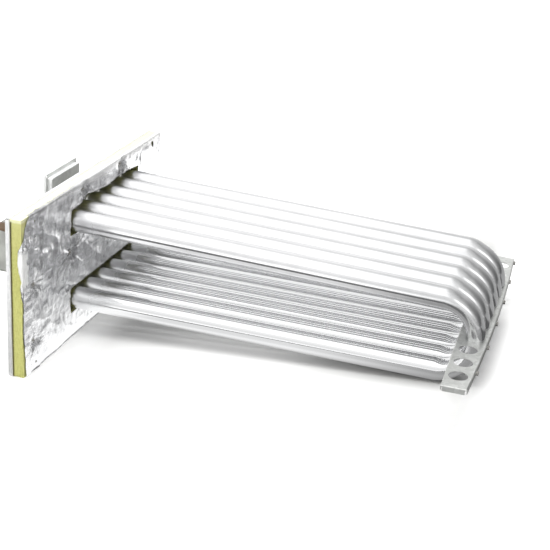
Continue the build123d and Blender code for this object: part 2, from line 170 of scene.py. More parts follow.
class NodeBook:
    """Writes one material's or world's node tree."""

    def __init__(self, tree: bpy.types.NodeTree) -> None:
        """Empties a tree to write in."""
        self.tree = tree
        tree.nodes.clear()

    def add(self, kind: str, inputs: dict, output: Union[str, int] = 0, **settings: str) -> Wire:
        """Adds one node.

        Args:
            kind: The node's type, without the ShaderNode that all of them start with.
            inputs: Values or wires by socket name or number.
            output: Name or number of the output that is returned.
            **settings: The node's properties, which are set before its inputs.

        Returns:
            The chosen output.
        """
        node = self.tree.nodes.new(f"ShaderNode{kind}")
        for name, value in settings.items():
            setattr(node, name, value)
        for name, value in inputs.items():
            if isinstance(value, Wire):
                self.tree.links.new(value.socket, node.inputs[name])
            elif isinstance(value, tuple) and node.inputs[name].type == "RGBA":
                node.inputs[name].default_value = (*value, 1.0)
            else:
                node.inputs[name].default_value = value
        return Wire(self, node.outputs[output] if node.outputs else None)

    @cached_property
    def place(self) -> Wire:
        """Gives the point on the object, in metres in the shared frame."""
        return self.add("TexCoord", {}, "Object")

    def split(self, vector: Wire) -> tuple[Wire, Wire, Wire]:
        """Gives a vector's X, Y and Z."""
        parts = self.add("SeparateXYZ", {0: vector}, "X")
        return parts, parts.out("Y"), parts.out("Z")

    def noise(self, scale: float, detail: float = 3.0, kind: str = "FBM") -> Wire:
        """Gives noise from about 0 to 1, by cells to the metre and the number of finer layers."""
        inputs = {"Vector": self.place, "Scale": scale, "Detail": detail}
        return self.add("TexNoise", inputs, noise_type=kind)

    def grained(self, cells: Colour, detail: float) -> Wire:
        """Gives noise with its own number of cells to the metre along each axis."""
        place = self.add("VectorMath", {0: self.place, 1: cells}, operation="MULTIPLY")
        return self.add("TexNoise", {"Vector": place, "Scale": 1.0, "Detail": detail})

    def mix(self, share: Term, low: Union[Wire, Colour], high: Union[Wire, Colour]) -> Wire:
        """Mixes two colours: low at a share of 0, high at 1."""
        return self.add("Mix", {0: share, 6: low, 7: high}, 2, data_type="RGBA")

    def most(self, first: Wire, second: Wire) -> Wire:
        """Takes the greater of two values."""
        return self.add("Math", {0: first, 1: second}, operation="MAXIMUM")

    def bump(self, height: Wire, depth: float, strength: float, under: Union[Wire, None] = None) -> Wire:
        """Bumps the normal, or a coarser bump's, by a height of 1 that stands for a depth in metres."""
        below = {"Normal": under} if under else {}
        return self.add("Bump", {"Height": height, "Distance": depth, "Strength": strength, **below})

    def surface(self, inputs: dict) -> None:
        """Ends a material in one principled shader."""
        self.add("OutputMaterial", {"Surface": self.add("BsdfPrincipled", inputs)})

    def white(self, kind: str, strength: Term) -> Wire:
        """Gives a white emission or background of a strength."""
        return self.add(kind, {"Color": WHITE, "Strength": strength})

    def either(self, share: Wire, low: Wire, high: Wire) -> Wire:
        """Mixes two shaders: low at a share of 0, high at 1."""
        return self.add("MixShader", {0: share, 1: low, 2: high})


def blank(name: str) -> tuple[bpy.types.Material, NodeBook]:
    """Makes a material.

    Args:
        name: Its name.

    Returns:
        The material, and the book of its nodes.
    """
    material = bpy.data.materials.new(name)
    material.use_nodes = True
    return material, NodeBook(material.node_tree)


def linked(name: str, data: bpy.types.ID) -> bpy.types.Object:
    """Makes an object and puts it in the scene.

    Args:
        name: Its name.
        data: Its mesh, light or camera.

    Returns:
        The object.
    """
    thing = bpy.data.objects.new(name, data)
    bpy.context.scene.collection.objects.link(thing)
    return thing


@dataclass(frozen=True)
class Finish:
    """One finish of the object; each kind writes its own nodes."""

    name: str

    def write(self, book: NodeBook) -> None:
        """Writes the material's nodes."""
        raise NotImplementedError

    def made(self) -> bpy.types.Material:
        """Gives the material, which is made the first time that it is asked for.

        Returns:
            The material.
        """
        found = bpy.data.materials.get(self.name)
        if found is None:
            found, book = blank(self.name)
            self.write(book)
        return found


@dataclass(frozen=True)
class AluminisedTube(Finish):
    """Hot-dipped tube: bright and satin, drawn lengthwise, rougher where the bends were pressed, with
    painted shade towards the bends, on the lower row and at the roots.
    """

    bright: Colour = (0.80, 0.80, 0.81)
    # The greyer colour is for wear and for painted shade towards the bends.
    wear_and_bend_shade: Colour = (0.60, 0.605, 0.61)
    # Painted shade: the lower row's slightly darker colour, for the upper row's shade.
    lower_row_shade: Colour = (0.785, 0.79, 0.795)
    # Painted shade with a painted olive reflection of the board where the tubes leave it.
    root_shade: Colour = (0.36, 0.36, 0.28)
    drawn_cells: Colour = (3.0, 260.0, 260.0)
    worn: Span = (0.38, 0.66)
    bend_shade_x: Span = (0.55, 0.90)
    bent_x: Span = (0.835, 0.90)
    lower_row_shade_z: Span = (-0.055, 0.0)
    root_shade_x: Span = (0.020, 0.046)
    soft_x: Span = (0.05, 0.16)

    def write(self, book: NodeBook) -> None:
        """Writes drawn streaks, painted shade on the lower leg, towards the bends and at the roots by the
        board, and rougher bends.

        Args:
            book: Where the nodes go.
        """
        along, _, up = book.split(book.place)
        streaks = book.grained(self.drawn_cells, 4.0)
        blotches = book.noise(34.0, 4.0)
        speckle = book.noise(420.0, 2.0)
        peel = book.noise(150.0, 2.0)
        bent = along.steps(*self.bent_x)
        wear = (streaks * 0.5 + blotches * 0.5).steps(*self.worn)
        # Painted shade: the tube greys from mid-length towards the bends, over the wear streaks.
        drawn = book.mix(wear * 0.35 + along.steps(*self.bend_shade_x) * 0.65, self.bright, self.wear_and_bend_shade)
        # Painted shade: the lower leg takes its own slightly darker colour.
        lower_row_shade = book.mix(up.steps(*self.lower_row_shade_z), self.lower_row_shade, drawn)
        fine = book.bump(streaks * 0.7 + speckle * 0.3, 0.0002, 0.06)
        book.surface({
            # Painted shade and painted olive reflection at the roots by the board.
            "Base Color": book.mix(along.falls(*self.root_shade_x) * 0.35, lower_row_shade, self.root_shade),
            "Metallic": 1.0,
            "Roughness": 0.07 + blotches * 0.06 + bent * 0.03 + along.falls(*self.soft_x) * 0.2,
            "Normal": book.bump(peel * bent, 0.0005, 0.2, fine),
        })


@dataclass(frozen=True)
class GalvanisedSheet(Finish):
    """Zinc-coated sheet: dull crystals with faint edges, and grey handling marks."""

    tone: Colour = (0.66, 0.67, 0.67)
    dark: Colour = (0.50, 0.51, 0.50)
    roughness: float = 0.36
    metallic: float = 0.92
    crystal_cells: float = 130.0
    marked: Span = (0.35, 0.95)

    def write(self, book: NodeBook) -> None:
        """Writes the crystals as cells of slightly different tone and gloss.

        Args:
            book: Where the nodes go.
        """
        crystals = {"Vector": book.place, "Scale": self.crystal_cells}
        shade = book.add("RGBToBW", {0: book.add("TexVoronoi", crystals, "Color", feature="F1")})
        marks = book.noise(26.0, 5.0)
        book.surface({
            "Base Color": book.mix((shade * 0.45 + marks * 0.75).steps(*self.marked), self.tone, self.dark),
            "Metallic": self.metallic,
            "Roughness": self.roughness + shade * 0.12 + marks * 0.06,
            "Normal": book.bump(marks * 0.6 + shade * 0.4, 0.0003, 0.22),
        })


@dataclass(frozen=True)
class RustingSheet(Finish):
    """Coated sheet that has started to rust along its upper folds."""

    tone: Colour = (0.46, 0.47, 0.44)
    dark: Colour = (0.30, 0.30, 0.28)
    rust: Colour = (0.10, 0.068, 0.045)
    rust_z: Span = (0.139, 0.147)
    rust_y: Span = (-0.345, -0.28)

    def write(self, book: NodeBook) -> None:
        """Writes grey sheet with brown patches that gather at the top fold.

        Args:
            book: Where the nodes go.
        """
        _, across, up = book.split(book.place)
        blotches = book.noise(22.0, 6.0)
        spots = book.noise(140.0, 4.0)
        edge = up.steps(*self.rust_z) * across.falls(*self.rust_y)
        rusted = (edge * 0.75 + blotches * 0.7 + spots * 0.25 - 0.55).steps(0.28, 0.5)
        sheet = book.mix(blotches.steps(0.35, 0.7), self.tone, self.dark)
        book.surface({
            "Base Color": book.mix(rusted, sheet, self.rust),
            "Metallic": 0.85 - rusted * 0.8,
            "Roughness": 0.42 + rusted * 0.38 + blotches * 0.08,
            "Normal": book.bump(spots * 0.5 + blotches * 0.5, 0.0004, 0.3),
        })


@dataclass(frozen=True)
class CrinkledFoil(Finish):
    """Aluminium foil that was glued to soft board and has crinkled all over."""

    bright: Colour = (0.92, 0.925, 0.93)
    # Grey for scrim lines and scuffs, and for painted crease shade and painted reflection.
    wear_and_shade_grey: Colour = (0.50, 0.50, 0.51)
    # Painted highlight: white for the near lap and the top fold.
    highlight_white: Colour = (0.97, 0.97, 0.96)
    # Painted shadow: near-black line along the foot.
    foot_shadow: Colour = (0.04, 0.04, 0.04)
    level_cells: Colour = (30.0, 30.0, 480.0)
    upright_cells: Colour = (30.0, 480.0, 30.0)
    wear_and_shade_z: Span = (-0.165, -0.09)
    lap_highlight_y: Span = (-0.351, -0.346)
    lap_highlight_foot_z: Span = (0.018, 0.034)
    lap_highlight_top_z: Span = (0.102, 0.112)
    fold_highlight_y: Span = (-0.30, 0.10)
    fold_highlight_z: Span = (0.158, 0.174)
    foot_shadow_y: Span = (-0.35, -0.33)
    foot_shadow_rise_z: Span = (-0.1792, -0.1758)
    foot_shadow_fall_z: Span = (-0.1758, -0.1724)

    def write(self, book: NodeBook) -> None:
        """Writes creases, the scrim's lines, grey marks that are partly wear and partly painted crease
        shade, painted highlights on the near lap and the top fold, and a painted shadow line along the
        foot.

        Args:
            book: Where the nodes go.
        """
        _, across, up = book.split(book.place)
        folds = book.noise(30.0, 1.5, "RIDGED_MULTIFRACTAL")
        creases = book.noise(120.0, 2.0, "RIDGED_MULTIFRACTAL")
        level_threads = book.grained(self.level_cells, 2.0)
        upright_threads = book.grained(self.upright_cells, 2.0)
        threads = (level_threads + upright_threads) * 0.5
        scuffs = book.noise(75.0, 4.0)
        broad = book.noise(17.0, 1.0)
        # Scrim lines and scuffs, with painted crease shade and painted reflection in broad light and dark
        # patches.
        wear_and_shade_marks = (threads.steps(0.42, 0.58) * 0.45 + scuffs.steps(0.36, 0.64) * 0.35
                  + broad.steps(0.40, 0.60) * 0.4)
        # The grey marks are weaker towards the foot.
        wear_and_shade = wear_and_shade_marks * (0.28 + up.steps(*self.wear_and_shade_z) * 0.72)
        coarse = book.bump(folds * book.noise(9.0, 1.0).steps(0.40, 0.60), 0.0040, 0.9)
        shift = scuffs - 0.5
        # Painted highlight: a white, less metallic patch on the near lap.
        worn = (across - shift * 0.03).falls(*self.lap_highlight_y) * (up + shift * 0.04).within(
            self.lap_highlight_foot_z, self.lap_highlight_top_z)
        # Adds the painted highlight along the top fold.
        white = book.most(worn, up.steps(*self.fold_highlight_z) * across.steps(*self.fold_highlight_y))
        # Painted shadow: a thin near-black line just above the foot, away from the near edge.
        foot_shadow = (up + level_threads * 0.002).within(self.foot_shadow_rise_z, self.foot_shadow_fall_z)
        skin = book.mix(wear_and_shade, self.bright, self.wear_and_shade_grey)
        foot_shadowed = book.mix(foot_shadow * across.steps(*self.foot_shadow_y), skin, self.foot_shadow)
        book.surface({
            "Base Color": book.mix(white, foot_shadowed, self.highlight_white),
            "Metallic": 1.0 - white * 0.6,
            "Roughness": 0.15 + scuffs * 0.14 + white * 0.2,
            "Normal": book.bump(creases * 0.5 + threads * 1.0, 0.0011, 0.6, coarse),
        })


@dataclass(frozen=True)
class GlassFibre(Finish):
    """Yellow glass fibre: matted olive and yellow layers, with painted olive shade in the slot's depth and
    next to the panel, and a painted highlight on the top edge.
    """

    yellow: Colour = (0.66, 0.66, 0.24)
    olive: Colour = (0.54, 0.54, 0.17)
    golden: Colour = (0.74, 0.72, 0.32)
    # Painted highlight: pale cream for the top edge.
    top_highlight: Colour = (0.93, 0.93, 0.62)
    # Painted shade: dark olive for the gap next to the panel.
    root: Colour = (0.10, 0.09, 0.03)
    # Painted shade: dark olive inside the upper slot.
    slot_shade: Colour = (0.27, 0.27, 0.14)
    layer_cells: Colour = (900.0, 60.0, 60.0)
    golden_z: Span = (0.08, 0.175)
    top_highlight_z: Span = (0.168, 0.1735)
    inner_y: Span = (-0.36, -0.35)
    inner_z: Span = (0.165, 0.170)
    panel_gap_shade_x: Span = (0.0025, 0.006)
    panel_gap_shade_z: Span = (0.170, 0.174)
    slot_shade_x: Span = (0.012, 0.031)

    def write(self, book: NodeBook) -> None:
        """Writes layered fibres with tone that changes up the edge, a painted highlight on the top, and
        painted shade next to the panel and in the upper slot.

        Args:
            book: Where the nodes go.
        """
        out, across, up = book.split(book.place)
        layers = book.grained(self.layer_cells, 3.0)
        tufts = book.noise(260.0, 4.0)
        patches = book.noise(28.0, 3.0)
        body = book.mix((layers * 0.55 + tufts * 0.45).steps(0.36, 0.62), self.olive, self.yellow)
        warm = book.mix(up.steps(*self.golden_z) * patches * 1.1, body, self.golden)
        # Painted highlight on the top edge.
        pale = book.mix(up.steps(*self.top_highlight_z) * 0.92, warm, self.top_highlight)
        # The upper slot's inside, which gets painted shade, darkest towards the panel.
        inside = across.steps(*self.inner_y) * up.falls(*self.inner_z)
        # Painted shade along the board's back next to the panel, outside the upper slot.
        rim = out.falls(*self.panel_gap_shade_x) * up.falls(*self.panel_gap_shade_z)
        panel_gap_shaded = book.mix(rim * (1.0 - inside), pale, self.root)
        book.surface({
            "Base Color": book.mix(inside * out.falls(*self.slot_shade_x) * 0.85, panel_gap_shaded, self.slot_shade),
            "Roughness": 0.95,
            "Specular IOR Level": 0.15,
            "Sheen Weight": 0.25,
            "Normal": book.bump(layers * 0.5 + tufts * 0.5, 0.0008, 0.3),
        })


@dataclass(frozen=True)
class FibreGasket(Finish):
    """Pressed ceramic fibre, off-white and matt, with faint stains."""

    tone: Colour = (0.80, 0.78, 0.72)
    stain: Colour = (0.60, 0.57, 0.50)

    def write(self, book: NodeBook) -> None:
        """Writes faint stains and a felted surface.

        Args:
            book: Where the nodes go.
        """
        book.surface({
            "Base Color": book.mix(book.noise(40.0, 4.0).steps(0.45, 0.75), self.tone, self.stain),
            "Roughness": 0.92,
            "Normal": book.bump(book.noise(500.0), 0.0004, 0.5),
        })


@dataclass(frozen=True)
class PlatedSteel(Finish):
    """Dull zinc plate on small steel parts, darker where it has worn."""

    tone: Colour
    dark: Colour
    roughness: float = 0.38

    def write(self, book: NodeBook) -> None:
        """Writes worn patches and a slightly uneven skin.

        Args:
            book: Where the nodes go.
        """
        worn = book.noise(300.0, 4.0)
        book.surface({
            "Base Color": book.mix(worn.steps(0.4, 0.68), self.tone, self.dark),
            "Metallic": 0.9,
            "Roughness": self.roughness + worn * 0.2,
            "Normal": book.bump(worn, 0.0003, 0.3),
        })


TUBE_FINISH = AluminisedTube("aluminised_tube_skin")
PANEL_FINISH = GalvanisedSheet("galvanised_panel_skin", (0.88, 0.88, 0.88), (0.74, 0.75, 0.75), 0.4, 0.45)
BRACKET_FINISH = GalvanisedSheet("galvanised_bracket_skin", (0.74, 0.75, 0.73), (0.58, 0.59, 0.57), 0.34)
ADAPTER_FINISH = GalvanisedSheet("adapter_skin", (0.90, 0.91, 0.90), (0.76, 0.77, 0.76), 0.3, 0.35)
COLLECTOR_FINISH = RustingSheet("collector_skin")
FOIL_FINISH = CrinkledFoil("foil_skin")
BOARD_FINISH = GlassFibre("glass_fibre_mat")
GASKET_FINISH = FibreGasket("gasket_felt")
SCREW_FINISH = PlatedSteel("screw_plate", (0.40, 0.39, 0.37), (0.16, 0.16, 0.15))
PIN_FINISH = PlatedSteel("pin_plate", (0.55, 0.54, 0.51), (0.30, 0.29, 0.27))


def add_piece(name: str, points: Points, faces: Sequence[Sequence[int]], finish: Finish,
              stands_for: Sequence[str], sharp_from: float = 40.0) -> bpy.types.Object:
    """Makes a piece of the object from points and faces, and seats it in the frame.

    Args:
        name: The piece's name.
        points: Its corners, in metres.
        faces: Its faces, as numbers of corners.
        finish: What it is made of.
        stands_for: The CAD nodes that it replaces.
        sharp_from: Edges sharper than this angle, in degrees, stay sharp.

    Returns:
        The new object.
    """
    mesh = bpy.data.meshes.new(name)
    mesh.from_pydata(points.tolist(), [], faces)
    mesh.validate()
    mesh.materials.append(finish.made())
    mesh.polygons.foreach_set("use_smooth", np.ones(len(mesh.polygons), dtype=bool))
    mesh.set_sharp_from_angle(angle=radians(sharp_from))
    mesh.update()
    piece = linked(name, mesh)
    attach(piece, BODY)
    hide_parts(*stands_for)
    LOG.info("%s: %d corners, %d faces", name, len(mesh.vertices), len(mesh.polygons))
    return piece


@dataclass
class Ring:
    """One cross-section of a tube."""

    x: float
    z: float
    heading: float
    pressed: float
    swell: float = 0.0
    rib: float = 0.0


@dataclass
class TubeBank:
    """The six tubes, each bent from one length with its return bend pressed flat."""

    outside_radius: float = 25.4 * MM
    wall: float = 1.2 * MM
    upper_row_z: float = 98.5 * MM
    lower_row_z: float = -88.5 * MM
    upper_fall: float = radians(2.34)
    lower_fall: float = radians(0.71)
    lean_x: float = 13.2 * MM
    lean_radius: float = 400.0 * MM
    bend_x: float = 936.0 * MM
    bend_radius: float = 78.0 * MM
    half_thickness: float = 20.0 * MM
    half_breadth: float = 26.0 * MM
    press_run: float = 34.0 * MM
    tail: float = 3.0 * MM
    lip_swell: float = 3.1 * MM
    lip_depth: float = 1.2 * MM
    bead_swell: float = 2.6 * MM
    bead_start: float = 1.2 * MM
    bead_end: float = 5.2 * MM
    bead_rings: int = 6
    step_in: float = 0.1 * MM
    leg_gap: float = 2.0 * MM
    lean_run: float = 8.0 * MM
    squareness: float = 0.45
    rib_height: float = 0.8 * MM
    rib_pitch: float = 5.4 * MM
    rib_run: float = 38.0 * MM
    unevenness: float = 0.12 * MM
    facets: int = 72
    leg_rings: int = 44
    bend_step: float = 1.6 * MM
    count: int = 6

    def _leg_height(self, x: float, row_z: float, fall: float) -> float:
        """Gives the height of a leaning leg's centre, with its lean rounded.

        Args:
            x: Where along the leg.
            row_z: The row's height at the panel.
            fall: How far the leg leans, in radians.

        Returns:
            The height.
        """
        ease = self.lean_radius * tan(fall / 2)
        if x <= self.lean_x - ease:
            return row_z
        if x >= self.lean_x + ease * cos(fall):
            return row_z - (x - self.lean_x) * tan(fall)
        run = x - (self.lean_x - ease)
        return row_z - (self.lean_radius - (self.lean_radius ** 2 - run ** 2) ** 0.5)

    def _leg(self, row_z: float, fall: float, end_x: float, start: float) -> list[Ring]:
        """Lists the rings of one leg, from its tail behind the panel to its bend.

        Args:
            row_z: The row's height at the panel.
            fall: How far the leg leans, in radians.
            end_x: Where the bend starts.
            start: The heading of the leg's straight end, in radians.

        Returns:
            The rings in order.
        """
        ends = ((-self.tail, 0.0), (-self.lip_depth - self.step_in, 0.0), (-self.lip_depth, self.lip_swell),
                (-self.step_in, self.lip_swell), (0.0, 0.0), (self.bead_start - self.step_in / 2, 0.0))
        rings = [Ring(x, row_z, start, 0.0, swell) for x, swell in ends]
        for share in np.linspace(0.0, 1.0, self.bead_rings):
            x = self.bead_start + share * (self.bead_end - self.bead_start)
            swell = self.bead_swell * cos(share * pi / 2)
            rings.append(Ring(x, self._leg_height(x, row_z, fall), start, 0.0, swell))
        for x in np.linspace(self.bead_end + self.leg_gap, end_x, self.leg_rings):
            leant = smooth(np.array(x), self.lean_x - self.lean_run, self.lean_x + self.lean_run)
            lean = fall * float(leant)
            rings.append(Ring(x, self._leg_height(x, row_z, fall), start - lean, 0.0))
        return rings

    def _bend(self, top_z: float, foot_z: float) -> list[Ring]:
        """Lists the rings of the bend: an arc, a short straight neck and another arc.

        Args:
            top_z: Height of the upper leg's end.
            foot_z: Height of the lower leg's end.

        Returns:
            The rings, pressed flat away from both ends and ribbed near the lower one.
        """
        radius = self.bend_radius
        centre = top_z - radius * cos(self.upper_fall)
        neck = centre - (foot_z + radius * cos(self.lower_fall))
        arc = radius * (pi / 2 - self.upper_fall)
        length = arc + neck + radius * (pi / 2 + self.lower_fall)
        steps = int(length / self.bend_step)
        rings = []
        for step in range(1, steps):
            run = length * step / steps
            dropped = min(max(run - arc, 0.0), neck)
            heading = -self.upper_fall - (run - dropped) / radius
            left = length - run
            pressed = float(smooth(np.array(min(run, left)), 0.0, self.press_run))
            ribbed = sin(min(1.0, left / self.rib_run) * pi) ** 0.7
            rib = ribbed * (0.5 - 0.5 * cos(left / self.rib_pitch * 2 * pi))
            x = self.bend_x - radius * (1 + sin(heading))
            z = centre - dropped + radius * cos(heading)
            rings.append(Ring(x, z, heading, pressed, 0.0, rib))
        return rings

    def rings(self) -> list[Ring]:
        """Lists the rings of a whole tube.

        Returns:
            The rings, from the upper tail round to the lower one.
        """
        upper_end_x = self.bend_x - self.bend_radius * (1 - sin(self.upper_fall))
        lower_end_x = self.bend_x - self.bend_radius * (1 + sin(self.lower_fall))
        upper = self._leg(self.upper_row_z, self.upper_fall, upper_end_x, 0.0)
        lower = self._leg(self.lower_row_z, self.lower_fall, lower_end_x, -pi)
        return upper + self._bend(upper[-1].z, lower[-1].z) + lower[::-1]

    def _outline(self, ring: Ring, inset: float, grain: Grain, tube_y: float) -> Points:
        """Gives one ring's corners.

        Args:
            ring: The cross-section.
            inset: How far inside the outer skin it lies.
            grain: Noise that makes the walls a little uneven.
            tube_y: The tube's place across the panel.

        Returns:
            Its corners in metres.
        """
        turn = np.linspace(0.0, 2 * pi, self.facets, endpoint=False)
        swell = ring.swell if inset == 0.0 else 0.0
        rounded = self.outside_radius * (1 - ring.pressed)
        thick = rounded + self.half_thickness * ring.pressed - inset + swell
        broad = rounded + self.half_breadth * ring.pressed - inset + swell
        power = 2.0 / (2.0 + self.squareness * ring.pressed)
        out, side = (np.sign(part) * np.abs(part) ** power for part in (np.cos(turn), np.sin(turn)))
        uneven = grain.at(turn * 1.3 + 40.0, np.full_like(turn, ring.x * 9.0 + 7.0)) * self.unevenness
        ribs = self.rib_height * ring.rib * np.clip(-np.cos(turn), 0.0, 1.0) ** 3
        rise = out * thick + np.cos(turn) * (uneven - ribs)
        across = side * broad + np.sin(turn) * uneven
        normal_x, normal_z = -sin(ring.heading), cos(ring.heading)
        return np.stack([ring.x + normal_x * rise, tube_y + across, ring.z + normal_z * rise], axis=1)

    def build(self) -> None:
        """Makes the tubes, each with an outer and an inner wall joined at its open ends."""
        rings = self.rings()
        inner_rings = rings[:1] + rings[12:-12:3] + rings[-1:]
        for number in range(1, self.count + 1):
            node = f"u_tube_{number}"
            low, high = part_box(node)
            tube_y = (low.y + high.y) / 2
            grain = Grain(100 + number)
            loops = [self._outline(ring, 0.0, grain, tube_y) for ring in rings]
            loops += [self._outline(ring, self.wall, grain, tube_y) for ring in inner_rings[::-1]]
            add_piece(f"bent_tube_{number}", np.concatenate(loops), self._skin(len(loops)), TUBE_FINISH,
                      [node])

    def _skin(self, loops: int) -> list[tuple[int, int, int, int]]:
        """Joins each loop to the next, and the last to the first.

        Args:
            loops: How many loops there are.

        Returns:
            The faces, as numbers of corners.
        """
        around = np.arange(self.facets)
        after = (around + 1) % self.facets
        faces = []
        for loop in range(loops):
            here, there = loop * self.facets, (loop + 1) % loops * self.facets
            faces += zip(here + around, here + after, there + after, there + around)
        return faces


@dataclass
class BoardLayout:
    """What the board and its foil share: outline, slots, pins and the relief pressed into them."""

    front_x: float = 29.1 * MM
    back_x: float = 1.2 * MM
    half_width: float = 370.8 * MM
    foot_z: float = -178.0 * MM
    top_z: float = 177.5 * MM
    slot_near_y: float = -146.1 * MM
    slot_far_y: float = 228.6 * MM
    lower_slot: Span = (-118.5 * MM, -58.5 * MM)
    upper_slot_foot: float = 68.5 * MM
    torn_edge: tuple[Span, ...] = (
        (-146.1, 128.5), (-120.0, 130.0), (-86.0, 136.5), (-58.0, 142.5), (-30.0, 138.0), (47.0, 131.0),
        (113.0, 136.5), (170.0, 134.0), (228.6, 128.5),
    )
    pins: tuple[Span, ...] = (
        (-312.0, 15.5), (-317.5, -113.0), (-139.0, 26.5), (-72.5, 157.5), (132.5, 159.0), (105.0, 12.0),
        (317.5, 15.5), (317.5, -113.0),
    )
    bolt_half_y: float = 316.5 * MM
    bolt_half_z: float = 162.0 * MM
    access_radius: float = 6.5 * MM
    dimple_depth: float = 9.0 * MM
    clip_radius: float = 6.5 * MM
    dimple_reach: float = 30.0 * MM

    def slot_top(self, y: Points) -> Points:
        """Gives the height of the upper slot's torn top edge at each y."""
        edge = np.array(self.torn_edge) * MM
        return np.interp(y, edge[:, 0], edge[:, 1])

    def ways(self, y: Points, z: Points) -> Iterator[tuple[Points, Points]]:
        """Gives, for each pin, how far across and up the points lie from it."""
        for pin_y, pin_z in self.pins:
            yield y - pin_y * MM, z - pin_z * MM

    def dimples(self, y: Points, z: Points) -> Points:
        """Gives the pressed-in dimples.

        Args:
            y: Places across the board.
            z: Heights.

        Returns:
            A height below the board's face for each point.
        """
        height = np.zeros_like(y)
        for way in self.ways(y, z):
            slope = np.clip(1 - (np.hypot(*way) - self.clip_radius) / self.dimple_reach, 0.0, 1.0) ** 2.6
            height = np.minimum(height, -self.dimple_depth * slope)
        return height

    def soft_face(self, y: Points, z: Points) -> Points:
        """Gives the board's face as a height: broad soft waves, and the dimples at the pins."""
        waves = Grain(11).at(y / 0.09 + 31, z / 0.07 + 17) * 1.2 * MM - 0.8 * MM
        return self.dimples(y, z) + waves


@dataclass
class Lattice:
    """A grid of points over the panel whose lines follow the slots' edges."""

    layout: BoardLayout
    spacing: float
    near_edge: Callable[[Points], Points]
    top_edge: Callable[[Points], Points]
    near_hole_radius: float
    y: Points = field(init=False)
    z: Points = field(init=False)
    open_cells: Points = field(init=False)

    def __post_init__(self) -> None:
        """Lays the lines and marks the cells that are open."""
        plan = self.layout
        sides = (plan.slot_near_y, plan.slot_far_y, plan.half_width)
        levels = (plan.foot_z, *plan.lower_slot, plan.upper_slot_foot)
        lines_y = self._shares([-plan.half_width, *sides])
        lines_z = self._shares([*levels, float(plan.slot_top(np.array(0.0))), plan.top_z])
        rough_y = np.interp([band + share for band, share in lines_y], range(4), [-plan.half_width, *sides])
        rows = [*levels, plan.slot_top(rough_y), self.top_edge(rough_y)]
        self.z = np.stack([self._line(rows, line, rough_y) for line in lines_z], axis=1)
        self.y = np.stack([self._line([self.near_edge(z), *sides], line, z)
                           for line, z in zip(lines_y, self.z)])
        across = np.array([band == 1 for band, _ in lines_y[:-1]])
        upward = np.array([band in (1, 3) for band, _ in lines_z[:-1]])
        self.open_cells = across[:, None] & upward[None, :] | self._hole_cells()

    def _shares(self, knots: Sequence[float]) -> list[tuple[int, float]]:
        """Numbers the lines between knots.

        Args:
            knots: Where the stretches start and end.

        Returns:
            For each line the stretch that it is in, and how far along it.
        """
        lines = []
        for band, (low, high) in enumerate(zip(knots, knots[1:])):
            count = max(1, round((high - low) / self.spacing))
            lines += [(band, step / count) for step in range(count)]
        return lines + [(len(knots) - 2, 1.0)]

    @staticmethod
    def _line(knots: Sequence[Union[float, Points]], line: tuple[int, float], like: Points) -> Points:
        """Gives one line's coordinates, in the shape of another array, between its stretch's knots."""
        low, high = knots[line[0]], knots[line[0] + 1]
        return np.broadcast_to(low + (high - low) * line[1], like.shape)

    def _hole_cells(self) -> Points:
        """Marks the cells at the access holes, and draws the corners round each onto its circle.

        Returns:
            True for each cell that is open.
        """
        plan = self.layout
        mid_y = (self.y[:-1, :-1] + self.y[1:, 1:]) / 2
        mid_z = (self.z[:-1, :-1] + self.z[1:, 1:]) / 2
        marked = np.zeros(mid_y.shape, dtype=bool)
        for side_y, side_z in ((-1, -1), (-1, 1), (1, -1), (1, 1)):
            radius = plan.access_radius if side_y > 0 else self.near_hole_radius
            hole_y, hole_z = side_y * plan.bolt_half_y, side_z * plan.bolt_half_z
            inside = np.hypot(mid_y - hole_y, mid_z - hole_z) < radius
            marked |= inside
            rim = sum(np.pad(inside, ((a, 1 - a), (b, 1 - b))) for a in (0, 1) for b in (0, 1)) > 0
            away = np.hypot(self.y - hole_y, self.z - hole_z)
            pull = np.where(rim & (away > radius * 0.5), radius / (away + 1e-9), 1.0)
            self.y = hole_y + (self.y - hole_y) * pull
            self.z = hole_z + (self.z - hole_z) * pull
        return marked

    def cells(self) -> list[tuple[int, int, int, int]]:
        """Lists the faces of the closed cells.

        Returns:
            The faces, as numbers of corners.
        """
        rows = self.y.shape[1]
        column, row = np.nonzero(~self.open_cells)
        first = column * rows + row
        return list(zip(*(first + step for step in (0, rows, rows + 1, 1))))


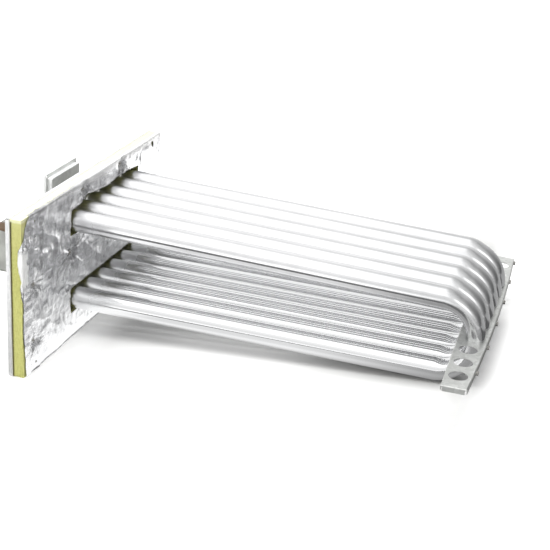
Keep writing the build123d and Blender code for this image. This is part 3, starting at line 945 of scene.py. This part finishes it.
@dataclass
class InsulationBoard:
    """The glass fibre board: a thick mat with rough, layered edges."""

    layout: BoardLayout
    spacing: float = 4.5 * MM
    layers: int = 9
    roughness: float = 1.1 * MM
    under_foil: float = 2.6 * MM
    tuft: float = 9.0 * MM
    settled: float = 0.4 * MM

    def build(self) -> None:
        """Makes the board from a front face, a back face and ragged walls between them."""
        plan = self.layout
        lattice = Lattice(plan, self.spacing, lambda z: np.full_like(z, -plan.half_width),
                          lambda y: np.full_like(y, plan.top_z), plan.access_radius)
        y, z = lattice.y.ravel(), lattice.z.ravel()
        relief = plan.soft_face(y, z) - self.under_foil
        front = np.stack([plan.front_x + relief, y, z], axis=1)
        back = np.stack([np.full_like(y, plan.back_x), y, z], axis=1)
        faces = lattice.cells()
        behind = [tuple(len(y) + corner for corner in face[::-1]) for face in faces]
        points, walls = self._walls(faces, front, back)
        add_piece("fibre_board", np.concatenate([front, back, points]), faces + behind + walls,
                  BOARD_FINISH, ["insulation_board"])

    def _walls(self, faces: list, front: Points, back: Points) -> tuple[Points, list]:
        """Makes the ragged walls along every open edge of the front face.

        Args:
            faces: The front face's cells.
            front: Corners of the front face.
            back: Corners of the back face, as many.

        Returns:
            The walls' own corners, and their faces.
        """
        edges: dict[tuple[int, int], bool] = {}
        for face in faces:
            for start, end in zip(face, face[1:] + face[:1]):
                if not edges.pop((end, start), False):
                    edges[(start, end)] = True
        outward: dict[int, Vector] = {}
        for start, end in edges:
            run = front[end] - front[start]
            normal = Vector((0.0, run[2], -run[1])).normalized()
            for corner in (start, end):
                outward[corner] = outward.get(corner, Vector()) + normal
        ragged, columns = [], {}
        grain, tufts = Grain(21), Grain(22)
        count = len(front)
        for corner, normal in outward.items():
            normal = normal.normalized()
            along = (front[corner][1] + front[corner][2] * 1.7) / self.tuft
            columns[corner] = [corner]
            for layer in range(1, self.layers):
                share = layer / self.layers
                point = front[corner] * (1 - share) + back[corner] * share
                push = grain.at(np.array(along), np.array(share * 6.0 + 3.0)) * 0.6
                push += tufts.at(np.array(along * 3.1), np.array(share * 14.0)) * 0.4
                push = float(push) * self.roughness - self.settled
                columns[corner].append(2 * count + len(ragged))
                ragged.append([point[0], point[1] + normal.y * push, point[2] + normal.z * push])
            columns[corner].append(corner + count)
        walls = []
        for start, end in edges:
            here, there = columns[start], columns[end]
            walls += zip(here, here[1:], there[1:], there)
        return np.array(ragged), walls


@dataclass
class FoilFacing:
    """The foil: crinkled, pulled into the pins, torn at one corner and folded over the near edge."""

    layout: BoardLayout
    spacing: float = 2.9 * MM
    lift: float = 0.3 * MM
    gauge: float = 0.2 * MM
    corner_radius: float = 3.4 * MM
    near_hole_radius: float = 2.3 * MM
    top_lap: float = 7.5 * MM
    star_height: float = 7.0 * MM
    star_reach: float = 28.0 * MM
    star_heart: Span = (5.0 * MM, 13.0 * MM)
    deepest: float = -1.1 * MM
    side_lift: float = 0.6 * MM
    sharp_from: float = 75.0
    lap: tuple[Span, ...] = (
        (-178.0, -5.0), (-150.0, -5.0), (-125.0, -4.0), (-110.0, -2.0), (-90.0, -0.5), (-50.0, 0.0),
        (-10.0, -1.0), (0.0, 1.0), (10.0, 3.5), (27.0, 7.0), (38.0, 3.5), (45.0, 4.0), (65.0, 9.0),
        (85.0, 11.5), (110.0, 10.0), (120.0, 5.0), (130.0, -2.0), (140.0, -8.0), (150.0, -13.0),
        (160.0, -15.0), (170.0, -18.0), (177.5, -33.0),
    )

    def _near_edge(self, z: Points) -> Points:
        """Gives where the foil starts on the developed sheet; past the board's edge it folds over.

        Args:
            z: Heights.

        Returns:
            The edge's place across the sheet at each height.
        """
        lap = np.array(self.lap)
        reach = np.interp(z / MM, lap[:, 0], lap[:, 1]) * MM
        ragged = Grain(31).at(z / (7 * MM) + 50, np.full_like(z, 3.3)) * 1.2 * MM
        return -self.layout.half_width - reach + ragged

    def _top_edge(self, y: Points) -> Points:
        """Gives the foil's ragged top edge.

        Args:
            y: Places across the sheet.

        Returns:
            The edge's developed height at each place.
        """
        grain = Grain(32)
        ragged = grain.at(y / (13 * MM) + 40, np.full_like(y, 5.1)) * 1.6
        ragged += grain.at(y / (4 * MM) + 90, np.full_like(y, 8.7)) * 0.8
        return self.layout.top_z + self.top_lap + ragged * MM

    def _stars(self, y: Points, z: Points) -> Points:
        """Gives the creases that run out from each pin.

        Args:
            y: Places across the board.
            z: Heights.

        Returns:
            The creases' height at each point.
        """
        height = np.zeros_like(y)
        for number, (out_y, out_z) in enumerate(self.layout.ways(y, z)):
            away, turn = np.hypot(out_y, out_z), np.arctan2(out_z, out_y)
            spokes = Grain(60 + number).creased(np.cos(turn) * 3.2 + 20, np.sin(turn) * 3.2 + 20)
            fade = np.exp(-away / self.star_reach) * smooth(away, *self.star_heart)
            height += spokes * fade * self.star_height
        return height

    def _relief(self, y: Points, z: Points) -> Points:
        """Gives the foil's own relief: long folds, crumples, fine crinkles and stars.

        Args:
            y: Places across the board.
            z: Heights.

        Returns:
            The height over the board's face at each point.
        """
        broad, folds, crumple, fine = Grain(41), Grain(42), Grain(43), Grain(44)
        slanted = (y * 0.5 + z) / (34 * MM)
        long_folds = folds.creased(slanted + 60, (y - z * 0.4) / (95 * MM) + 30)
        patches = smooth(broad.at(y / 0.11 + 9, z / 0.10 + 5), -0.35, 0.55)
        crumpled = crumple.creased(y / (21 * MM) + 80, z / (17 * MM) + 70)
        crinkled = fine.creased(y / (7.5 * MM) + 100, z / (7 * MM) + 100)
        height = long_folds * 1.7 + crumpled * (0.4 + 1.3 * patches) + crinkled * (0.04 + 0.16 * patches)
        return (height - 0.9) * MM + self._stars(y, z)

    def build(self) -> None:
        """Makes the foil from the sheet's developed grid."""
        plan = self.layout
        lattice = Lattice(plan, self.spacing, self._near_edge, self._top_edge, self.near_hole_radius)
        y, z = lattice.y.ravel(), lattice.z.ravel()
        face_y = np.maximum(y, -plan.half_width)
        calm = smooth(face_y, -plan.half_width, -plan.half_width + 12 * MM) * 0.8 + 0.2
        calm = calm * (1 - smooth(z, plan.top_z - 10 * MM, plan.top_z - 2 * MM) * 0.8)
        under = plan.soft_face(face_y, np.minimum(z, plan.top_z))
        clips = np.zeros_like(y)
        for way in plan.ways(y, z):
            clips = np.maximum(clips, 1 - smooth(np.hypot(*way), plan.clip_radius, plan.clip_radius * 2))
        raised = np.maximum(self._relief(face_y, z) * calm * (1 - clips), self.deepest)
        points = self._fold(y, z, under + raised + self.lift)
        foil = add_piece("crinkled_foil", points, lattice.cells(), FOIL_FINISH, ["foil_facing"],
                         self.sharp_from)
        gauge = foil.modifiers.new("gauge", "SOLIDIFY")
        gauge.thickness = self.gauge
        gauge.offset = -1.0

    def _fold(self, y: Points, z: Points, relief: Points) -> Points:
        """Folds the developed sheet over the board's near and top edges.

        Args:
            y: Developed place across the sheet.
            z: Developed height.
            relief: Height over the board's face.

        Returns:
            The sheet's points.
        """
        plan, radius = self.layout, self.corner_radius
        edge_y = -plan.half_width - self.lift
        hub_x, hub_y = plan.front_x - radius, edge_y + radius
        past = hub_y - y
        turn = np.clip(past / radius, 0.0, pi / 2)
        down = np.clip(past - radius * pi / 2, 0.0, None)
        x = np.where(past > 0, hub_x + (radius + relief) * np.cos(turn) - down, plan.front_x + relief)
        side = np.where(past > 0, hub_y - (radius + np.minimum(relief, self.side_lift)) * np.sin(turn), y)
        hub_z = plan.top_z + self.lift - radius
        over = z - hub_z
        tip = np.clip(over / radius, 0.0, pi / 2)
        back = np.clip(over - radius * pi / 2, 0.0, None)
        x = np.where(over > 0, hub_x + (radius + relief) * np.cos(tip) - back, x)
        rise = np.where(over > 0, hub_z + (radius + np.clip(relief, 0.0, self.side_lift)) * np.sin(tip), z)
        return np.stack([x, side, rise], axis=1)


@dataclass
class SheetWork:
    """The CAD nodes that keep their shape and get a finish."""

    finishes: tuple[tuple[Finish, tuple[str, ...]], ...] = (
        (PANEL_FINISH, ("vestibule_panel",)),
        (BRACKET_FINISH, ("support_bracket",)),
        (COLLECTOR_FINISH, ("collector_box",)),
        (ADAPTER_FINISH, ("outlet_adapter",)),
        (GASKET_FINISH, ("collector_gasket", "outlet_gasket")),
        (SCREW_FINISH, ("bracket_screws", "collector_screws", "outlet_screws")),
        (PIN_FINISH, ("insulation_pins", "pin_clips")),
    )

    def build(self) -> None:
        """Gives each node its finish."""
        for finish, names in self.finishes:
            for name in names:
                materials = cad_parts[name].data.materials
                materials.clear()
                materials.append(finish.made())
                LOG.info("%s: %s", name, finish.name)


@dataclass
class Studio:
    """The floor, the light and the camera."""

    camera_place: tuple[float, float, float] = (1.15168, -2.46102, 1.04617)
    azimuth: float = radians(15.66)
    elevation: float = radians(22.28)
    roll: float = radians(3.81)
    focal_pixels: float = 1224.19
    frame_pixels: float = 550.0
    sensor: float = 36.0
    board_foot: Span = (29.6 * MM, -178.0 * MM)
    bend_foot_x: float = 858.0 * MM
    floor_size: float = 14.0
    floor_colour: Colour = (0.86, 0.86, 0.85)
    # Painted shadow: the floor's grey under the bends.
    contact_shadow_colour: Colour = (0.46, 0.46, 0.45)
    floor_glow: float = 0.14
    sky_level: float = 0.15
    card_level: float = 0.22
    card_x: Span = (-1.2, 0.9)
    card_y: Span = (-0.68, -0.38)
    middle: Colour = (0.45, 0.0, 0.0)
    glow_centre: Colour = (0.45, 0.0, -0.15)
    glow: Span = (0.62, 1.15)
    # Painted light: past here the floor glows, which clears the bracket's shadow.
    shadow_clear_x: Span = (0.90, 1.02)
    clip: Span = (0.05, 60.0)

    def floor_tilt(self) -> float:
        """Gives the slope of the floor that the board's foot and the bends rest on."""
        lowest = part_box("u_tube_1")[0].z
        return (lowest - self.board_foot[1]) / (self.bend_foot_x - self.board_foot[0])

    def on_floor(self, x: float, y: float, lift: float = 0.0) -> Vector:
        """Gives the floor's point under a place."""
        return Vector((x, y, self.board_foot[1] + (x - self.board_foot[0]) * self.floor_tilt() + lift))

    def _slab(self, name: str, x_ends: Span, y_ends: Span, lift: float,
              material: bpy.types.Material) -> bpy.types.Object:
        """Lays a flat sheet on the floor.

        Args:
            name: The sheet's name.
            x_ends: Its ends along the tubes.
            y_ends: Its ends across them.
            lift: Its height above the floor.
            material: What it is made of.

        Returns:
            The sheet.
        """
        (left, right), (near, far) = x_ends, y_ends
        corners = [(left, near), (right, near), (right, far), (left, far)]
        mesh = bpy.data.meshes.new(name)
        mesh.from_pydata([self.on_floor(x, y, lift) for x, y in corners], [], [(0, 1, 2, 3)])
        mesh.materials.append(material)
        sheet = linked(name, mesh)
        return sheet

    def _floor(self) -> None:
        """Lays a pale floor: white to the camera outside the shadow, with a painted contact shadow under
        the bends and painted light in the shadow near the foil and past the bracket; metal mirrors a
        painted reflection of it, greyer past the bends.
        """
        material, book = blank("floor_paper")
        rays = book.add("LightPath", {}, "Is Camera Ray")
        along, across, _ = book.split(book.place)
        away = book.add("VectorMath", {0: book.place, 1: self.glow_centre}, "Value", operation="DISTANCE")
        # Painted light: the floor glows a little near the foil and along the middle stretch, which pales
        # the shadow there, and glows past the bracket.
        middle = along.within((0.15, 0.35), (0.45, 0.65))
        shadow_lift = (middle + along.falls(0.06, 0.14) * 1.6) * self.floor_glow
        level = shadow_lift + away.steps(*self.glow) + along.steps(*self.shadow_clear_x) * 0.85
        # Painted shadow: the paper greys under the near tubes at the bends.
        contact_shadow = along.steps(0.5, 0.85) * across.steps(-0.19, -0.13) * along.falls(0.86, 0.93)
        colour = book.mix(contact_shadow, self.floor_colour, self.contact_shadow_colour)
        paper = book.add("BsdfDiffuse", {"Color": colour})
        lit = book.add("AddShader", {0: paper, 1: book.white("Emission", level)})
        # Painted reflection: what metal mirrors of the floor, darker under the object and before the near
        # tube, brighter far behind and far in front, greyer past the bends.
        under = across.within((-0.17, -0.09), (0.2, 0.3)) * along.steps(0.06, 0.16)
        shade = under * (0.6 + along.steps(0.4, 0.8) * 0.1)
        nearby = across.within((-0.40, -0.34), (-0.20, -0.14)) * along.steps(0.08, 0.2) * 0.25
        beyond = across.steps(0.45, 0.9) * along.falls(0.4, 0.7) * 1.1
        before = across.falls(-0.95, -0.70) * 0.4
        ahead = 1.25 - along.steps(0.5, 0.95) * 0.76
        mirrored = book.white("Emission", ahead * (1.0 - shade) * (1.0 - nearby) + beyond + before)
        seen = book.either(rays, paper, lit)
        book.add("OutputMaterial", {"Surface": book.either(rays.out("Is Glossy Ray"), seen, mirrored)})
        half = self.floor_size / 2
        self._slab("floor", (-half, half), (-half, half), 0.0, material)

    def _card(self) -> None:
        """Lays a dark card before the object, which only polished metal mirrors."""
        material, book = blank("dark_card")
        book.add("OutputMaterial", {"Surface": book.white("Emission", self.card_level)})
        card = self._slab("dark_card", self.card_x, self.card_y, 2 * MM, material)
        card.visible_camera = card.visible_diffuse = False
        card.visible_shadow = card.visible_transmission = False

    def _world(self) -> None:
        """Makes a white room that metal mirrors, with a greyer front and end wall."""
        world = bpy.data.worlds.new("room")
        bpy.context.scene.world = world
        world.use_nodes = True
        book = NodeBook(world.node_tree)
        rays = book.add("LightPath", {}, "Is Camera Ray")
        x, y, z = book.split(book.add("TexCoord", {}, "Generated"))
        endward = x * 0.883 + y * 0.469
        end = endward.steps(0.30, 1.05)
        above = z.steps(0.35, 0.65) * endward.steps(0.0, 0.4) * 0.22
        low = z.falls(0.05, 0.38) * x.steps(0.35, 0.70) * (1.0 - end * 0.5) * 0.45
        band = y.falls(-0.6, -0.25) * z.within((0.12, 0.19), (0.32, 0.38))
        high = z.steps(0.55, 0.68) * y.falls(0.35, 0.6)
        glint = (x * 0.493 - y * 0.654 + z * 0.574).steps(0.93, 0.985) * 0.8
        level = 1.12 + x.falls(-0.05, 0.2) * (high * 0.5 - band * 0.15)
        grey = level * (1.0 - end * 0.82) * (1.0 - low) * (1.0 - above) + glint
        lit = book.either(rays.out("Is Glossy Ray"), book.white("Background", self.sky_level),
                          book.white("Background", grey))
        clear = book.most(rays, rays.out("Is Transmission Ray"))
        book.add("OutputWorld", {"Surface": book.either(clear, lit, book.white("Background", 1.0))})

    def _lamp(self, name: str, place: Vector, target: Vector, size: float, watts: float) -> None:
        """Hangs a soft square lamp.

        Args:
            name: Its name.
            place: Where it hangs.
            target: What it points at.
            size: Its side.
            watts: Its power.
        """
        light = bpy.data.lights.new(name, "AREA")
        light.shape = "SQUARE"
        light.size = size
        light.energy = watts
        lamp = linked(name, light)
        lamp.location = place
        lamp.rotation_mode = "QUATERNION"
        lamp.rotation_quaternion = (target - place).to_track_quat("-Z", "Y")
        lamp.visible_camera = lamp.visible_glossy = False

    def _camera(self) -> None:
        """Sets the camera where the photograph was taken from."""
        turn = Matrix.Rotation(self.azimuth, 4, "Z") @ Matrix.Rotation(pi / 2 - self.elevation, 4, "X")
        data = bpy.data.cameras.new("camera")
        data.sensor_width = self.sensor
        data.lens = self.focal_pixels / self.frame_pixels * self.sensor
        data.clip_start, data.clip_end = self.clip
        camera = linked("camera", data)
        rolled = turn @ Matrix.Rotation(self.roll, 4, "Z")
        camera.matrix_world = Matrix.Translation(self.camera_place) @ rolled
        bpy.context.scene.camera = camera

    def build(self) -> None:
        """Makes the camera, the floor, the room and the lamps."""
        bpy.context.scene.view_settings.view_transform = "Standard"
        self._camera()
        self._floor()
        self._card()
        self._world()
        middle = Vector(self.middle)
        self._lamp("overhead", Vector((0.0, -0.35, 2.4)), middle, 2.3, 100.0)
        self._lamp("front_left", Vector((-0.9, -2.2, 1.3)), middle, 1.2, 18.0)


def main() -> None:
    """Builds the object's looks piece by piece, then the stage."""
    logging.basicConfig(level=logging.INFO, format="%(name)s %(message)s")
    for light in [thing for thing in bpy.data.objects if thing.type in ("LIGHT", "CAMERA")]:
        bpy.data.objects.remove(light)
    TubeBank().build()
    layout = BoardLayout()
    InsulationBoard(layout).build()
    FoilFacing(layout).build()
    SheetWork().build()
    Studio().build()


if __name__ == "__main__":
    main()
